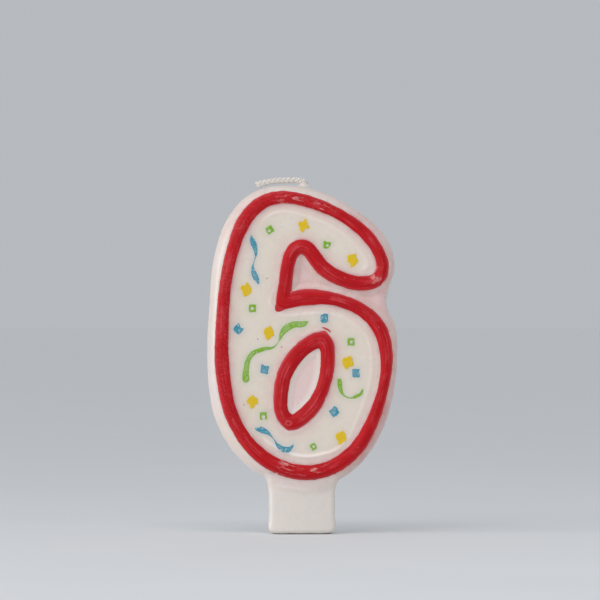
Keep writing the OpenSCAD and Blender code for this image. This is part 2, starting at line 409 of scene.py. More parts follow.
def face_lift(points):
    """The wax surface's lift at each point of the face."""
    past, half, lip, lip_place, on_panel = face_parts(points)
    clear = np.maximum(past, 0)
    fillet = BEAD_FILLET * np.exp(-clear / BEAD_FILLET_REACH)
    rim = (0.3 + 0.7 * lip_place / LIP_PLACE) * lip_height(points, clear, lip, lip_place, LIP_WIDTH)
    panel = PANEL_LIFT + CUSHION_LIFT * np.exp(-clear / 0.8) + fillet + LIP_LIFT * rim
    x, z = points.T
    # The margin's lower edge blends into the stem's face
    below = (1 - on_panel) * smoothstep(9.6, 7.4, np.abs(x)) * (z < outline.crest[:, 1].min())
    flatter = np.maximum(0.7 * below, 0.6 * smoothstep(66, 71, z))
    fall = np.where(in_counter(points), 0.2, OUTER_FALL) * (1 - flatter)
    beyond = OUTER_LIFT - 0.4 * below - fall * smoothstep(0, OUTER_FALL_REACH, clear) + fillet
    level = np.where(on_panel, panel, beyond)
    fallen = smoothstep(0.6, BOTTOM_MARGIN + 1.6, clear)
    stem = STEM_LIFT - STEM_DOME * (x / 8 + 0.25) ** 2
    level = level * (1 - below) + (level * (1 - fallen) + stem * fallen) * below
    # A low, slanting crease across the neck
    crease = (z - CREASE_Z + CREASE_SLOPE * x) / 0.28
    level += CREASE_LIFT * np.exp(-crease ** 2) * smoothstep(-6, -4, x) * smoothstep(2.5, 1, x)
    for *place, reach, lift in LUMPS:
        level += lift * bell(points, place, reach)
    # Under a red coat the wax is one rounded ridge
    across = np.clip(1 + np.minimum(past, 0) / half, 0, 1)
    ridge = level + (RIDGE_LIFT - level) * (1 - across ** 2.4)
    level = np.where(past < 0, ridge, level)
    return level + 0.025 * wobble(points, 7, 21) + 0.006 * wobble(points, 1.6, 22)


# ---- Mesh helpers ----
WELD_REACH = 2e-6  # metres


def new_object(name, vertices, faces, attributes=()):
    """A smooth-shaded object from points in millimetres, with named values on its points. The points
    where its patches meet are merged, and every face is turned outwards."""
    mesh = bpy.data.meshes.new(name)
    mesh.from_pydata((np.asarray(vertices) * MM).tolist(), [], [list(map(int, f)) for f in faces])
    for label, values in attributes:
        values = np.asarray(values, np.float32)
        kind = "FLOAT" if values.ndim == 1 else "FLOAT_VECTOR"
        layer = mesh.attributes.new(label, kind, "POINT")
        layer.data.foreach_set("value" if values.ndim == 1 else "vector", values.ravel())
    mesh.validate()
    mesh.shade_smooth()
    work = bmesh.new()
    work.from_mesh(mesh)
    bmesh.ops.remove_doubles(work, verts=work.verts, dist=WELD_REACH)
    bmesh.ops.recalc_face_normals(work, faces=work.faces)
    work.to_mesh(mesh)
    work.free()
    made = bpy.data.objects.new(name, mesh)
    bpy.context.scene.collection.objects.link(made)
    return made


def thinned(points, gap, kept=()):
    """Points that are at least about one gap from each other and from the kept ones."""
    cells = {}
    result = []

    def key(p):
        return int(p[0] // gap), int(p[1] // gap)

    def crowded(p):
        i, j = key(p)
        return any(
            (p[0] - q[0]) ** 2 + (p[1] - q[1]) ** 2 < gap * gap
            for a in (i - 1, i, i + 1) for b in (j - 1, j, j + 1) for q in cells.get((a, b), ())
        )

    for p in kept:
        cells.setdefault(key(p), []).append(p)
    for p in points:
        if not crowded(p):
            cells.setdefault(key(p), []).append(p)
            result.append(p)
    return np.array(result).reshape(-1, 2)


def honeycomb(low, high, spacing):
    """Points of a triangular grid that fills a box."""
    rows = []
    for i, z in enumerate(np.arange(low[1], high[1], spacing * math.sqrt(3) / 2)):
        x = np.arange(low[0] + spacing / 2 * (i % 2), high[0], spacing)
        rows.append(np.column_stack([x, np.full(len(x), z)]))
    return np.vstack(rows)


def loop_edges(loops):
    """The edges of closed loops whose points are numbered one loop after the other."""
    edges = []
    for loop in loops:
        start, count = len(edges), len(loop)
        edges += [(start + i, start + (i + 1) % count) for i in range(count)]
    return edges


def triangulated(loops, points):
    """Triangles that fill the area between closed loops and pass through the points."""
    corners = [Vector(p) for p in np.vstack([*loops, points]).tolist()]
    within_loops = 1
    vertices, _, faces, *_ = delaunay_2d_cdt(corners, loop_edges(loops), [], within_loops, 1e-7)
    vertices = np.array([tuple(v) for v in vertices])
    faces = np.array(faces)
    return vertices, faces[between(loops, vertices[faces].mean(axis=1))]


# ---- Outlines of the prints ----
INKS = ("yellow", "green", "blue")
# How round each ink's squares are at their corners, and how uneven at their edges
PRINT_EDGES = {"yellow": (0.4, 0.11), "green": (0.13, 0.05), "blue": (0.13, 0.04)}
PRINT_STRETCH = {"yellow": (1.06, 1.26), "green": (1.0, 1.05), "blue": (0.98, 1.06)}
# Where a print's edge is dented (or bulges, if negative): x and z from its middle, and how far
DENTS = {
    "yellow_square_1": [
        (0.9, 0.1, 0.35), (-0.35, 1.1, 0.45), (0.5, -1.1, 0.4), (-1.0, -0.4, 0.25), (-0.8, 0.7, -0.15),
    ],
    "yellow_square_2": [(-0.9, -0.8, 0.3), (0.8, -0.9, 0.3), (-0.7, 1.0, -0.15), (0.9, 0.6, 0.15)],
    "yellow_square_3": [
        (-0.4, 1.1, 0.3), (-0.9, -0.5, 0.3), (0.9, -0.7, -0.15), (0.85, 0.7, -0.2), (0.3, -1.2, -0.1),
    ],
    "yellow_square_4": [(-0.9, -0.5, 0.2), (0.7, 0.8, 0.1), (0.7, -0.8, 0.25)],
    "yellow_square_5": [(0.35, -0.75, 0.6), (-0.2, 1.2, 0.15), (-0.8, 0.7, -0.15), (0.9, -0.4, -0.15)],
    "yellow_square_6": [(0.75, -0.8, 0.35), (-0.85, -0.7, 0.35), (0.9, 0.5, -0.15)],
    "yellow_square_7": [(0.7, -0.8, 0.2), (-0.8, -0.8, 0.25), (0.7, 0.8, -0.1)],
    "green_square_2": [(-0.7, 0.6, -0.25), (0.5, -0.7, 0.3), (-0.4, -0.7, -0.15), (-0.1, 0.9, 0.15)],
    "green_square_6": [(0.8, 0.8, 0.25), (-0.8, 0.8, 0.25), (-0.8, -0.8, 0.25), (0.8, -0.8, 0.25)],
    "blue_square_1": [
        (0.6, 0.5, 0.25), (-0.55, 0.55, -0.15), (-0.55, -0.55, -0.15), (0.55, -0.55, -0.1),
    ],
    "blue_square_2": [(0.0, 1.0, -0.15), (0.0, -1.0, -0.1), (-0.7, 1.0, 0.15)],
    "blue_square_3": [(0.15, 0.95, 0.15), (-0.6, 0.9, -0.12)],
    "blue_square_4": [(0.9, 0.3, 0.25), (-0.9, -0.2, 0.1)],
    "blue_square_5": [(0.6, 0.6, -0.2), (-0.65, 0.6, 0.15), (0.6, -0.7, -0.15)],
}
DENT_REACH = 0.42
# How a green frame's hole is moved and how much of its size is left
HOLES = {
    "green_square_1": (-0.08, -0.26, 0.75),
    "green_square_2": (0.05, -0.1, 0.65),
    "green_square_4": (0.0, 0.0, 0.8),
    "green_square_5": (0.0, -0.3, 1.15),
    "green_square_6": (0.05, 0.0, 0.7),
}
PRINT_NODES = sorted(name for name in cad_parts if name.split("_")[0] in INKS)


def print_outline(node, turn):
    """A print's loops, with soft corners and the uneven edge that a stamp leaves in wax."""
    ink = node.split("_")[0]
    square = "square" in node
    softness, coarse = PRINT_EDGES[ink] if square else (0.07, 0.03)
    loops = []
    for ring in flat_rings(node, PANEL_Y):
        middle = (ring.min(axis=0) + ring.max(axis=0)) / 2
        place = resampled(ring, 0.13 if len(loops) == 0 else 0.09, softness) - middle
        if square:
            place = place * PRINT_STRETCH[ink]
        uneven = coarse * wobble(place + middle, 1.5, 100 + turn)
        uneven += 0.025 * wobble(place + middle, 0.6, 200 + turn)
        if len(loops) == 0:
            for *dent, depth in DENTS.get(node, ()):
                uneven += depth * bell(place, dent, DENT_REACH)
        else:
            x, z, left = HOLES.get(node, (0, 0, 1))
            place = place * left + (x, z)
        loops.append(place + inward(place) * uneven[:, None] + middle)
    return loops


print_loops = {node: print_outline(node, turn) for turn, node in enumerate(PRINT_NODES)}


# ---- The cast wax body ----
def whole_silhouette():
    """The casting's outline: its flat back's edge, with the rounded foot that the back stops above."""
    ring = flat_rings("wax_body", BACK_Y)[0]
    corners, _ = node_mesh("wax_body")
    lowest = ring[:, 1].min()
    foot = np.unique(np.round(corners[corners[:, 2] < lowest - 0.01][:, [0, 2]], 3), axis=0)
    foot = foot[foot[:, 1] < lowest - 0.01]
    reach = {z: np.abs(foot[foot[:, 1] == z][:, 0]).max() for z in np.unique(foot[:, 1])}
    right = np.array([[x, z] for z, x in sorted(reach.items())])
    left = right[::-1] * (-1, 1)
    base = np.flatnonzero(ring[:, 1] < lowest + 0.01)
    start = base[np.argmax(ring[base][:, 0])]
    return np.vstack([left, right, np.roll(ring, -start, axis=0)])


silhouette = resampled(whole_silhouette(), EDGE_STEP, 0.25)
# Rounder corners at the foot, and a tighter turn on the left of the neck
rounder = softened(silhouette, 0.9, EDGE_STEP)
silhouette += (rounder - silhouette) * smoothstep(2.6, 1.3, silhouette[:, 1])[:, None]
silhouette += inward(silhouette) * 0.4 * bell(silhouette, (-8.6, 12.2), 1.6)[:, None]
silhouette_in = inward(silhouette)


def shoulder_sizes():
    """How far in and back the front edge rolls, at each point of the silhouette."""
    distance, place = nearest(outline.crest, silhouette)
    margin = distance - at_place(outline.half, place)
    body = smoothstep(9.5, 13.5, silhouette[:, 1])
    width = np.clip(0.95 * margin, 0.9, SHOULDER_WIDTH) * body + STEM_SHOULDER * (1 - body)
    depth = SHOULDER_DEPTH * body + STEM_SHOULDER * (1 - body)
    return softened(width, 0.8, EDGE_STEP), softened(depth, 0.8, EDGE_STEP)


def front_y(points):
    return MARGIN_Y - face_lift(points)


def body_rings():
    """The casting's rounded edge as rings round the silhouette, from the front face to the back."""
    width, depth = shoulder_sizes()
    back_round = BACK_ROUND + (FOOT_ROUND - BACK_ROUND) * smoothstep(1.6, 0.4, silhouette[:, 1])
    waver = 0.05 * wobble(silhouette, 9, 31)
    rings = []
    # Front edge, from the flat face out to the side
    steps = 9
    for step in range(steps + 1):
        angle = math.pi / 2 * (1 - step / steps)
        inset = width * (1 - math.cos(angle))
        place = silhouette + silhouette_in * (inset + DRAFT + waver)[:, None]
        fallen = roll_off(np.minimum(inset, width), width, depth)
        rings.append(at_depth(place, front_y(place) + fallen))
    side_start = rings[-1][:, 1]
    side_depth = BACK_Y - back_round - side_start
    # Side wall, which widens a little towards the back
    walls = 18
    for wall in range(1, walls + 1):
        share = wall / walls
        place = silhouette + silhouette_in * ((DRAFT + waver) * (1 - share))[:, None]
        rings.append(at_depth(place, side_start + side_depth * share))
    # Back edge
    for step in range(1, 5):
        angle = math.pi / 2 * step / 4
        place = silhouette + silhouette_in * (back_round * (1 - math.cos(angle)))[:, None]
        y = BACK_Y - back_round * (1 - math.sin(angle))
        rings.append(at_depth(place, y))
    # Wax that climbs the wick as a concave cone
    for ring in rings:
        apart = np.hypot(ring[:, 0] - WICK_ROUTE[2][0], ring[:, 1])
        share = np.clip((CONE_RADIUS - apart) / (CONE_RADIUS - WICK_WIDTH / 2), 0, 1)
        ring[:, 2] += CONE_RISE * share ** 2.6 * (ring[:, 2] > 70)
    return rings


def between_rings(rings, count):
    """The four-sided faces that join each ring of points to the next."""
    faces = []
    for low in range(0, (rings - 1) * count, count):
        high = low + count
        for i in range(count):
            after = (i + 1) % count
            faces.append((low + i, low + after, high + after, high + i))
    return faces


ROW_OFFSETS = (0.0, 0.13, 0.28, 0.48, 0.75, 1.05, 1.3, 1.5, 1.65, 1.8, 1.95, 2.15)


def bead_rows():
    """Points in rows beside the beads' edges, so that the fillets and the lip there are even."""
    rows = []
    for bead in (outline, counter):
        for edge in bead.edges:
            side = inward(edge)
            for offset in ROW_OFFSETS:
                for sign in (1, -1):
                    place = edge + side * offset * sign
                    past, *_ = face_parts(place)
                    rows.append(place[(past > offset - 0.08) & (past < offset + 0.6)])
    return np.vstack(rows)


def back_dip(points):
    """The poured back sinks a little as the wax cools."""
    distance, _ = nearest(silhouette, points)
    return 0.12 * smoothstep(1.2, 5.5, distance) * (0.8 + 0.4 * wobble(points, 12, 41))


def make_wax_body():
    rings = body_rings()
    count = len(silhouette)
    vertices = [np.vstack(rings)]
    faces = between_rings(len(rings), count)
    used = len(vertices[0])

    face_edge = rings[0][:, [0, 2]]
    low, high = face_edge.min(axis=0), face_edge.max(axis=0)
    grid = honeycomb(low, high, FRONT_STEP)
    grid = grid[inside(face_edge, grid)]
    past, *_ = face_parts(grid)
    grid = grid[(past > 2.3) | ((past < 0) & (past > -1.2) & (rng.random(len(grid)) < 0.4))]
    beside = bead_rows()
    beside = beside[inside(face_edge, beside)]
    points = thinned(beside, 0.11, kept=face_edge)
    points = np.vstack([points, thinned(grid, 0.2, kept=np.vstack([face_edge, points]))])
    points = points[nearest(face_edge, points)[0] > 0.12]
    flat, triangles = triangulated([face_edge], points)
    vertices.append(at_depth(flat, front_y(flat)))
    faces += (triangles + used).tolist()
    used += len(flat)

    back_edge = rings[-1][:, [0, 2]]
    grid = honeycomb(low, high, BACK_STEP)
    grid = grid[inside(back_edge, grid)]
    grid = grid[nearest(back_edge, grid)[0] > 0.5]
    flat, triangles = triangulated([back_edge], grid)
    vertices.append(at_depth(flat, BACK_Y - back_dip(flat)))
    faces += (triangles[:, ::-1] + used).tolist()

    points = np.vstack(vertices)
    return new_object("cast_wax_body", points, faces, wax_values(points))


def wax_values(points):
    """Values that the wax's material reads: the pink beside the red coat, partly real bleed and partly
    painted red reflection and shade; painted shade in the webs and margins; the panel's and the stem's
    own tones; a painted highlight along the lip; and each ink's faint stain.
    """
    flat = points[:, [0, 2]]
    x, z = flat.T
    front = smoothstep(MARGIN_Y + 2.0, MARGIN_Y + 0.2, points[:, 1])
    past, _, lip, lip_place, on_panel = face_parts(flat)
    clear = np.maximum(past, 0)
    # Painted highlight: a paler tint along the thin lip that frames the panel
    lip_highlight = lip_height(flat, clear, lip, lip_place, 1.3 * LIP_WIDTH) * on_panel * front
    in_notch = smoothstep(46, 49, z) * smoothstep(64, 60, z) * smoothstep(-6, -4, x)
    # Painted shade and painted red reflection: where the wax beside the red beads is drawn pinker and
    # darker, most on the right and in the notch, less at the bottom and the top left
    shaded_pink = np.max([
        smoothstep(2, 14, x), in_notch, 0.35 * smoothstep(18, 12, z),
        0.5 * smoothstep(60, 67, z) * smoothstep(-5, -10, x),
    ], axis=0) + 0.6 * smoothstep(34, 25, z) * smoothstep(8, 14, x)
    broad = np.where(on_panel, 0.85, 0.15 + 0.45 * shaded_pink)
    # red_near: a pink tint towards the red coat, partly the dye's real bleed, partly painted red
    # reflection and shade
    red = 0.25 * np.exp(-clear / 0.22) + broad * np.exp(-clear / np.where(on_panel, 1.0, 1.5))
    red = (red + 0.2 * shaded_pink * (1 - on_panel)) * front
    # Painted shade and red reflection: the wax off the panel is drawn pinker away from the beads, most
    # in the recessed notch and counter
    enclosed = 0.45 + 0.55 * np.maximum(in_notch, 1.3 * in_counter(flat))
    web = (1 - on_panel) * smoothstep(0.3, 1.5, past) * front * enclosed * smoothstep(12, 16, z)
    panel = on_panel * smoothstep(0, 1.5, past) * front
    values = [("red_near", red), ("web", web), ("panel", panel), ("lip_highlight", lip_highlight)]
    values.append(("stem", smoothstep(11, 8, z)))
    for ink in INKS:
        stain = np.zeros(len(flat))
        for node, loops in print_loops.items():
            if node.startswith(ink):
                distance, _ = nearest(loops[0], flat)
                stain = np.maximum(stain, np.exp(-(distance / 0.8) ** 2) * front)
        values.append((ink + "_stain", stain))
    return values


# ---- Films over the face ----
def edge_rows(loops, offsets):
    """Points in rows at the given distances in from the edges of the area between the loops."""
    sides = [inward(loop) * sign for loop, sign in zip(loops, (1, -1))]
    return np.vstack([loop + side * offset for loop, side in zip(loops, sides) for offset in offsets])


def film(loops, thickness):
    """A film of ink or wax over the face, thinner towards its edge: points, faces, edge distances."""
    low, high = loops[0].min(axis=0), loops[0].max(axis=0)
    points = np.vstack([edge_rows(loops, (0.07,)), honeycomb(low, high, FILM_STEP)])
    points = points[between(loops, points)]
    points = points[gap_to(loops, points) > 0.05]
    flat, triangles = triangulated(loops, thinned(points, 0.1))
    edge_gap = gap_to(loops, flat)
    rise = thickness * np.sqrt(1 - np.clip(1 - edge_gap / FILM_EDGE, 0, 1) ** 2)
    wax = front_y(flat)
    top = at_depth(flat, wax - rise)
    under = at_depth(flat, wax + INK_FILM)
    vertices, faces = closed_plate(top, under, triangles, loops)
    return vertices, faces, np.concatenate([edge_gap, edge_gap])


def closed_plate(top, under, triangles, loops):
    """A plate from its top and underside, which share their triangles, closed round its loops."""
    count = len(top)
    faces = triangles.tolist() + (triangles[:, ::-1] + count).tolist()
    faces += [(a, b, count + b, count + a) for a, b in loop_edges(loops)]
    return np.vstack([top, under]), faces


# ---- The red coats ----
def stroke_values(bead, points):
    """Coordinates that run along and across a painted bead, with no seam where its loop closes."""
    distance, place = nearest(bead.crest, points)
    angle = place / len(bead.crest) * 2 * math.pi
    reach = bead.length / (2 * math.pi)
    sign = np.where(inside(bead.crest, points), 1.0, -1.0)
    half = at_place(bead.half, place)
    stroke = np.column_stack([reach * np.cos(angle), reach * np.sin(angle), distance * sign])
    return stroke, distance * sign / half, at_place(bead.corner, place)


def worn_places(points):
    """Where the coat is rubbed thin, and the ring left where the brush was lifted, both from 0 to 1."""
    worn = np.max([bell(points, place, reach) for *place, reach in WORN_PLACES], axis=0)
    ring = np.linalg.norm((points - KNOT_PLACE) * (1, 1.35), axis=1)
    return worn, np.exp(-((ring - KNOT_RADIUS) / 0.2) ** 2)


def ribbon(knots):
    """The outline of a brush mark from knots of its middle line, each x, z and width."""
    line = curve_through(knots, 8)
    side = left_of(np.gradient(line[:, :2], axis=0)) * line[:, 2:] / 2
    loop = np.vstack([line[:, :2] - side, (line[:, :2] + side)[::-1]])
    return resampled(anticlockwise(loop), 0.1, 0.05)


def coat_loops(bead):
    """A coat's outer and inner edge, uneven as painted by hand."""
    loops = []
    for turn, edge in enumerate(bead.edges):
        place = resampled(edge, 0.2, 0.12)
        rough = 0.07 * wobble(place, 3.2, 51 + turn) + 0.04 * wobble(place, 0.9, 53 + turn)
        if turn == 0:
            ragged = smoothstep(14, 10, np.hypot(place[:, 0] - 8, place[:, 1] - 13))
            rough += 0.07 * ragged * wobble(place, 0.7, 57)
        place = place + inward(place) * rough[:, None]
        place[:, 1] -= BLUNT_DROP * bell(place, BLUNT_CORNER, 1.1)
        loops.append(softened(place, 0.16, 0.2))
    return loops


def coat_points(loops):
    """Points inside a coat: rows beside its edges and a grid between them."""
    low, high = loops[0].min(axis=0), loops[0].max(axis=0)
    grid = honeycomb(low, high, COAT_STEP)
    grid = grid[between(loops, grid)]
    grid = grid[gap_to(loops, grid) > 0.32]
    rows = edge_rows(loops, (0.05, 0.13, 0.24))
    rows = rows[between(loops, rows)]
    rows = thinned(rows[gap_to(loops, rows) > 0.035], 0.04)
    return np.vstack([rows, thinned(grid, 0.15, kept=rows)])


def make_coat(bead, name, smear_knots=None):
    """The red coat over a bead: a thin domed strip with fine ridges along it."""
    loops = coat_loops(bead)
    flat, triangles = triangulated(loops, coat_points(loops))
    edge_gap = gap_to(loops, flat)
    _, across, corner = stroke_values(bead, flat)
    wax = front_y(flat)
    dome = np.sqrt(1 - np.clip(1 - edge_gap / COAT_EDGE_WIDTH, 0, 1) ** 2)
    crown = np.clip(1 - across ** 2, 0, 1)
    ridges = 0.014 * np.cos(across * 7.5 + wobble(flat, 9, 61)) * crown * (1 - corner)
    ridges += 0.03 * worn_places(flat)[1]
    thick = COAT_EDGE * dome + (CREST_LIFT - RIDGE_LIFT) * crown ** 0.9
    thick = thick * (1 + 0.1 * wobble(flat, 4, 62)) + ridges * np.clip(edge_gap / 0.5, 0, 1)
    top = at_depth(flat, wax - np.maximum(thick, 0.012 * dome))
    under = at_depth(flat, wax + 0.05)
    vertices, faces = closed_plate(top, under, triangles, loops)
    if smear_knots:
        smear, smear_faces, _ = film([ribbon(np.array(smear_knots))], SMEAR_THICKNESS)
        faces += [tuple(corner + len(vertices) for corner in face) for face in smear_faces]
        vertices = np.vstack([vertices, smear])
    x, _, z = vertices.T
    stroke, across, corner = stroke_values(bead, vertices[:, [0, 2]])
    worn, knot = worn_places(vertices[:, [0, 2]])
    # Where the pale bloom is strengthened: on the left run as a painted sheen from the light on that
    # side, and along the top
    on_left = smoothstep(-6, -12, x) * smoothstep(20, 28, z)
    bloom_and_sheen = np.maximum(on_left, smoothstep(64, 70, z) * smoothstep(10, 0, x))
    values = [("stroke", stroke), ("across", across), ("corner", corner)]
    values += [("worn", worn), ("knot", knot), ("bloom_and_sheen", bloom_and_sheen)]
    return new_object(name, vertices, faces, values)


# ---- The prints ----
def make_print(node):
    """One stamped print."""
    vertices, faces, edge_gap = film(print_loops[node], INK_FILM)
    return new_object("print_" + node, vertices, faces, [("edge_gap", edge_gap)])


# ---- The wick ----
def make_wick():
    """Three waxed cotton strands, plaited flat."""
    line = curve_through(np.array(WICK_ROUTE, float), 60)
    along = np.concatenate([[0], np.cumsum(np.linalg.norm(np.diff(line, axis=0), axis=1))])
    stations = np.arange(0, along[-1], 0.2)
    centre = np.column_stack([np.interp(stations, along, line[:, axis]) for axis in (0, 1)])
    normal = left_of(np.gradient(centre, axis=0))
    sway = (WICK_WIDTH - 2 * STRAND_RADIUS) / 2
    sides = 10
    vertices, faces = [], []
    for strand in range(3):
        phase = 2 * math.pi * (stations / PLAIT_PITCH + strand / 3)
        loosen = 1 + 0.5 * smoothstep(stations[-1] - 2.2, stations[-1], stations) * (strand != 1)
        aside = sway * np.sin(phase) * loosen
        forward = 0.1 * np.sin(2 * phase)
        to_end = np.minimum(stations, stations[-1] - 0.35 * (strand == 2) - stations)
        tip = np.sqrt(1 - np.clip(1 - np.maximum(to_end, 0.004) / 0.3, 0, 1) ** 2)
        for side in range(sides):
            angle = 2 * math.pi * side / sides
            twist = 0.04 * np.cos(3 * (angle - stations * 3.1))
            radius = STRAND_RADIUS * tip * (1 + twist)
            place = centre + normal * (aside + radius * math.cos(angle))[:, None]
            vertices.append(at_depth(place, forward + radius * math.sin(angle)))
        start = strand * sides
        count = len(stations)
        for side in range(sides):
            a, b = (start + side) * count, (start + (side + 1) % sides) * count
            faces += [(a + i, b + i, b + i + 1, a + i + 1) for i in range(count - 1)]
        faces += [tuple((start + side) * count + end for side in range(sides)) for end in (0, count - 1)]
    return new_object("wick_plait", np.vstack(vertices), faces)


# ---- Materials ----
def linear(red, green, blue):
    """A display colour, 0 to 255 a channel, as the linear colour that shaders use."""
    channels = [c / 255 for c in (red, green, blue)]
    return *(c / 12.92 if c < 0.04045 else ((c + 0.055) / 1.055) ** 2.4 for c in channels), 1.0


class Recipe:
    """A material under construction: one Principled shader and the nodes that drive it."""

    def __init__(self, name, **sockets):
        self.material = bpy.data.materials.new(name)
        self.material.use_nodes = True
        self.tree = self.material.node_tree
        self.shader = self.tree.nodes["Principled BSDF"]
        for socket, value in sockets.items():
            self.shader.inputs[socket.replace("_", " ")].default_value = value
        self.place = self.add("ShaderNodeTexCoord").outputs["Object"]

    def add(self, kind, settings=(), **inputs):
        node = self.tree.nodes.new(kind)
        for key, value in dict(settings).items():
            setattr(node, key, value)
        for socket, value in inputs.items():
            self.feed(node.inputs[socket.replace("_", " ")], value)
        return node

    def feed(self, socket, value):
        if isinstance(value, bpy.types.NodeSocket):
            self.tree.links.new(value, socket)
        else:
            socket.default_value = value

    def noise(self, size, detail=2.0, roughness=0.5, place=None):
        """Cloudy noise, with features about that many millimetres across."""
        return self.add(
            "ShaderNodeTexNoise", Vector=place or self.place, Scale=1 / (size * MM), Detail=detail,
            Roughness=roughness,
        ).outputs["Fac"]

    def spots(self, size):
        """Distance to the nearest of scattered points, about that many millimetres apart."""
        node = self.add("ShaderNodeTexVoronoi", Vector=self.place, Scale=1 / (size * MM))
        return node.outputs["Distance"]

    def apart(self, x, z):
        """Distance in metres from a place on the face."""
        flat = self.stretched(self.place, (1, 0.2, 1))
        middle = (x * MM, 0.2 * PANEL_Y * MM, z * MM)
        return self.combine("DISTANCE", flat, middle, "VectorMath")

    def value(self, name, output="Fac"):
        return self.add("ShaderNodeAttribute", {"attribute_name": name}).outputs[output]

    def ramp(self, value, low, high, start=0.0, end=1.0):
        """The value's range low..high, mapped smoothly to start..end."""
        return self.add(
            "ShaderNodeMapRange", {"interpolation_type": "SMOOTHSTEP"}, Value=value, From_Min=low,
            From_Max=high, To_Min=start, To_Max=end,
        ).outputs["Result"]

    def combine(self, operation, first, second, kind="Math", output="Value"):
        node = self.add("ShaderNode" + kind, {"operation": operation})
        self.feed(node.inputs[0], first)
        self.feed(node.inputs[1], second)
        return node.outputs[output]

    def times(self, first, second):
        return self.combine("MULTIPLY", first, second)

    def mix(self, factor, first, second, blend="MIX"):
        node = self.add("ShaderNodeMix", {"data_type": "RGBA", "blend_type": blend})
        colours_in = [socket for socket in node.inputs if socket.type == "RGBA"]
        colours_out = [socket for socket in node.outputs if socket.type == "RGBA"]
        self.feed(node.inputs["Factor"], factor)
        self.feed(colours_in[0], first)
        self.feed(colours_in[1], second)
        return colours_out[0]

    def stretched(self, place, scales):
        return self.combine("MULTIPLY", place, scales, "VectorMath", "Vector")

    def bump(self, height, depth, normal=None):
        """A bump of that many millimetres from a height between 0 and 1."""
        node = self.add("ShaderNodeBump", Height=height, Distance=depth * MM, Strength=1.0)
        if normal is not None:
            self.feed(node.inputs["Normal"], normal)
        return node.outputs["Normal"]

    def finish(self, colour, roughness, normal):
        for socket, value in (("Base Color", colour), ("Roughness", roughness), ("Normal", normal)):
            self.feed(self.shader.inputs[socket], value)
        return self.material


# Specks of soot and of red wax on the face: x, z, radius and colour
SOOT = linear(120, 112, 116)
CRUMB = linear(206, 120, 122)
SPECKS = [
    (-7.6, 55.8, 0.24, SOOT), (-9.6, 42.6, 0.22, SOOT), (-4.4, 40.9, 0.3, CRUMB),
    (-12.6, 28.3, 0.3, CRUMB), (-5.4, 51.0, 0.25, CRUMB), (13.9, 56.6, 0.2, CRUMB),
]
WAX_SHADER = {
    "Subsurface_Weight": 0.35,
    "Subsurface_Radius": (1.0, 0.75, 0.6),
    "Subsurface_Scale": 2.2 * MM,
    "IOR": 1.44,
}
WAX_PALE = linear(228, 220, 214)
WAX_WARM = linear(226, 217, 206)
# Zones of the wax with a tint, and how much of it: the web tint is painted shade and red reflection, the
# lip tint a painted highlight, and the panel and stem tints the wax's own tone
WAX_ZONES = [
    ("web", 0.6, linear(226, 196, 194)), ("panel", 0.75, linear(221, 210, 196)),
    ("lip_highlight", 0.5, linear(244, 234, 228)), ("stem", 1.0, linear(222, 217, 210)),
]
# Pink of the wax beside the red coat: partly the dye's real bleed, partly painted red reflection and
# shade
RED_BLEED_AND_SHADE = linear(204, 138, 136)
RED = linear(190, 1, 16)
RED_DARK = linear(170, 0, 12)
RED_PALE = linear(216, 96, 102)
INK_COLOURS = {
    "yellow": linear(218, 182, 0),
    "green": linear(118, 168, 24),
    "blue": linear(46, 138, 162),
}
# How patchy each ink is: the noise level above which it covers, and its cover below that
INK_PATCHES = {"yellow": (0.36, 0.75), "green": (0.42, 0.45), "blue": (0.43, 0.3)}
# How much paler each ink is away from its edges
INK_POOLED = {"yellow": 0.0, "green": 0.15, "blue": 0.12}


def wax_colour(recipe):
    """Slightly uneven white: cool and warm clouds, as paraffin sets."""
    clouds = recipe.ramp(recipe.noise(16, 2), 0.35, 0.65)
    return recipe.mix(clouds, WAX_PALE, WAX_WARM)


def wax_material():
    recipe = Recipe("white_wax", **WAX_SHADER)
    colour = wax_colour(recipe)
    for zone, share, tint in WAX_ZONES:
        colour = recipe.mix(recipe.times(recipe.value(zone), share), colour, tint)
    uneven = recipe.ramp(recipe.noise(2.5), 0.3, 0.7, 0.55, 0.85)
    # Pink beside the red coat, partly real bleed and partly painted red reflection and shade
    colour = recipe.mix(recipe.times(recipe.value("red_near"), uneven), colour, RED_BLEED_AND_SHADE)
    for ink, tint in INK_COLOURS.items():
        colour = recipe.mix(recipe.times(recipe.value(ink + "_stain"), 0.1), colour, tint)
    for x, z, size, tint in SPECKS:
        speck = recipe.ramp(recipe.apart(x, z), size * MM, 0.4 * size * MM, 0.0, 0.7)
        colour = recipe.mix(speck, colour, tint)
    roughness = recipe.ramp(recipe.noise(3.5, 3), 0.3, 0.7, 0.24, 0.36)
    dents = recipe.bump(recipe.noise(5, 2), 0.03)
    grain = recipe.bump(recipe.noise(0.9, 3, 0.6), 0.012, dents)
    return recipe.finish(colour, roughness, grain)


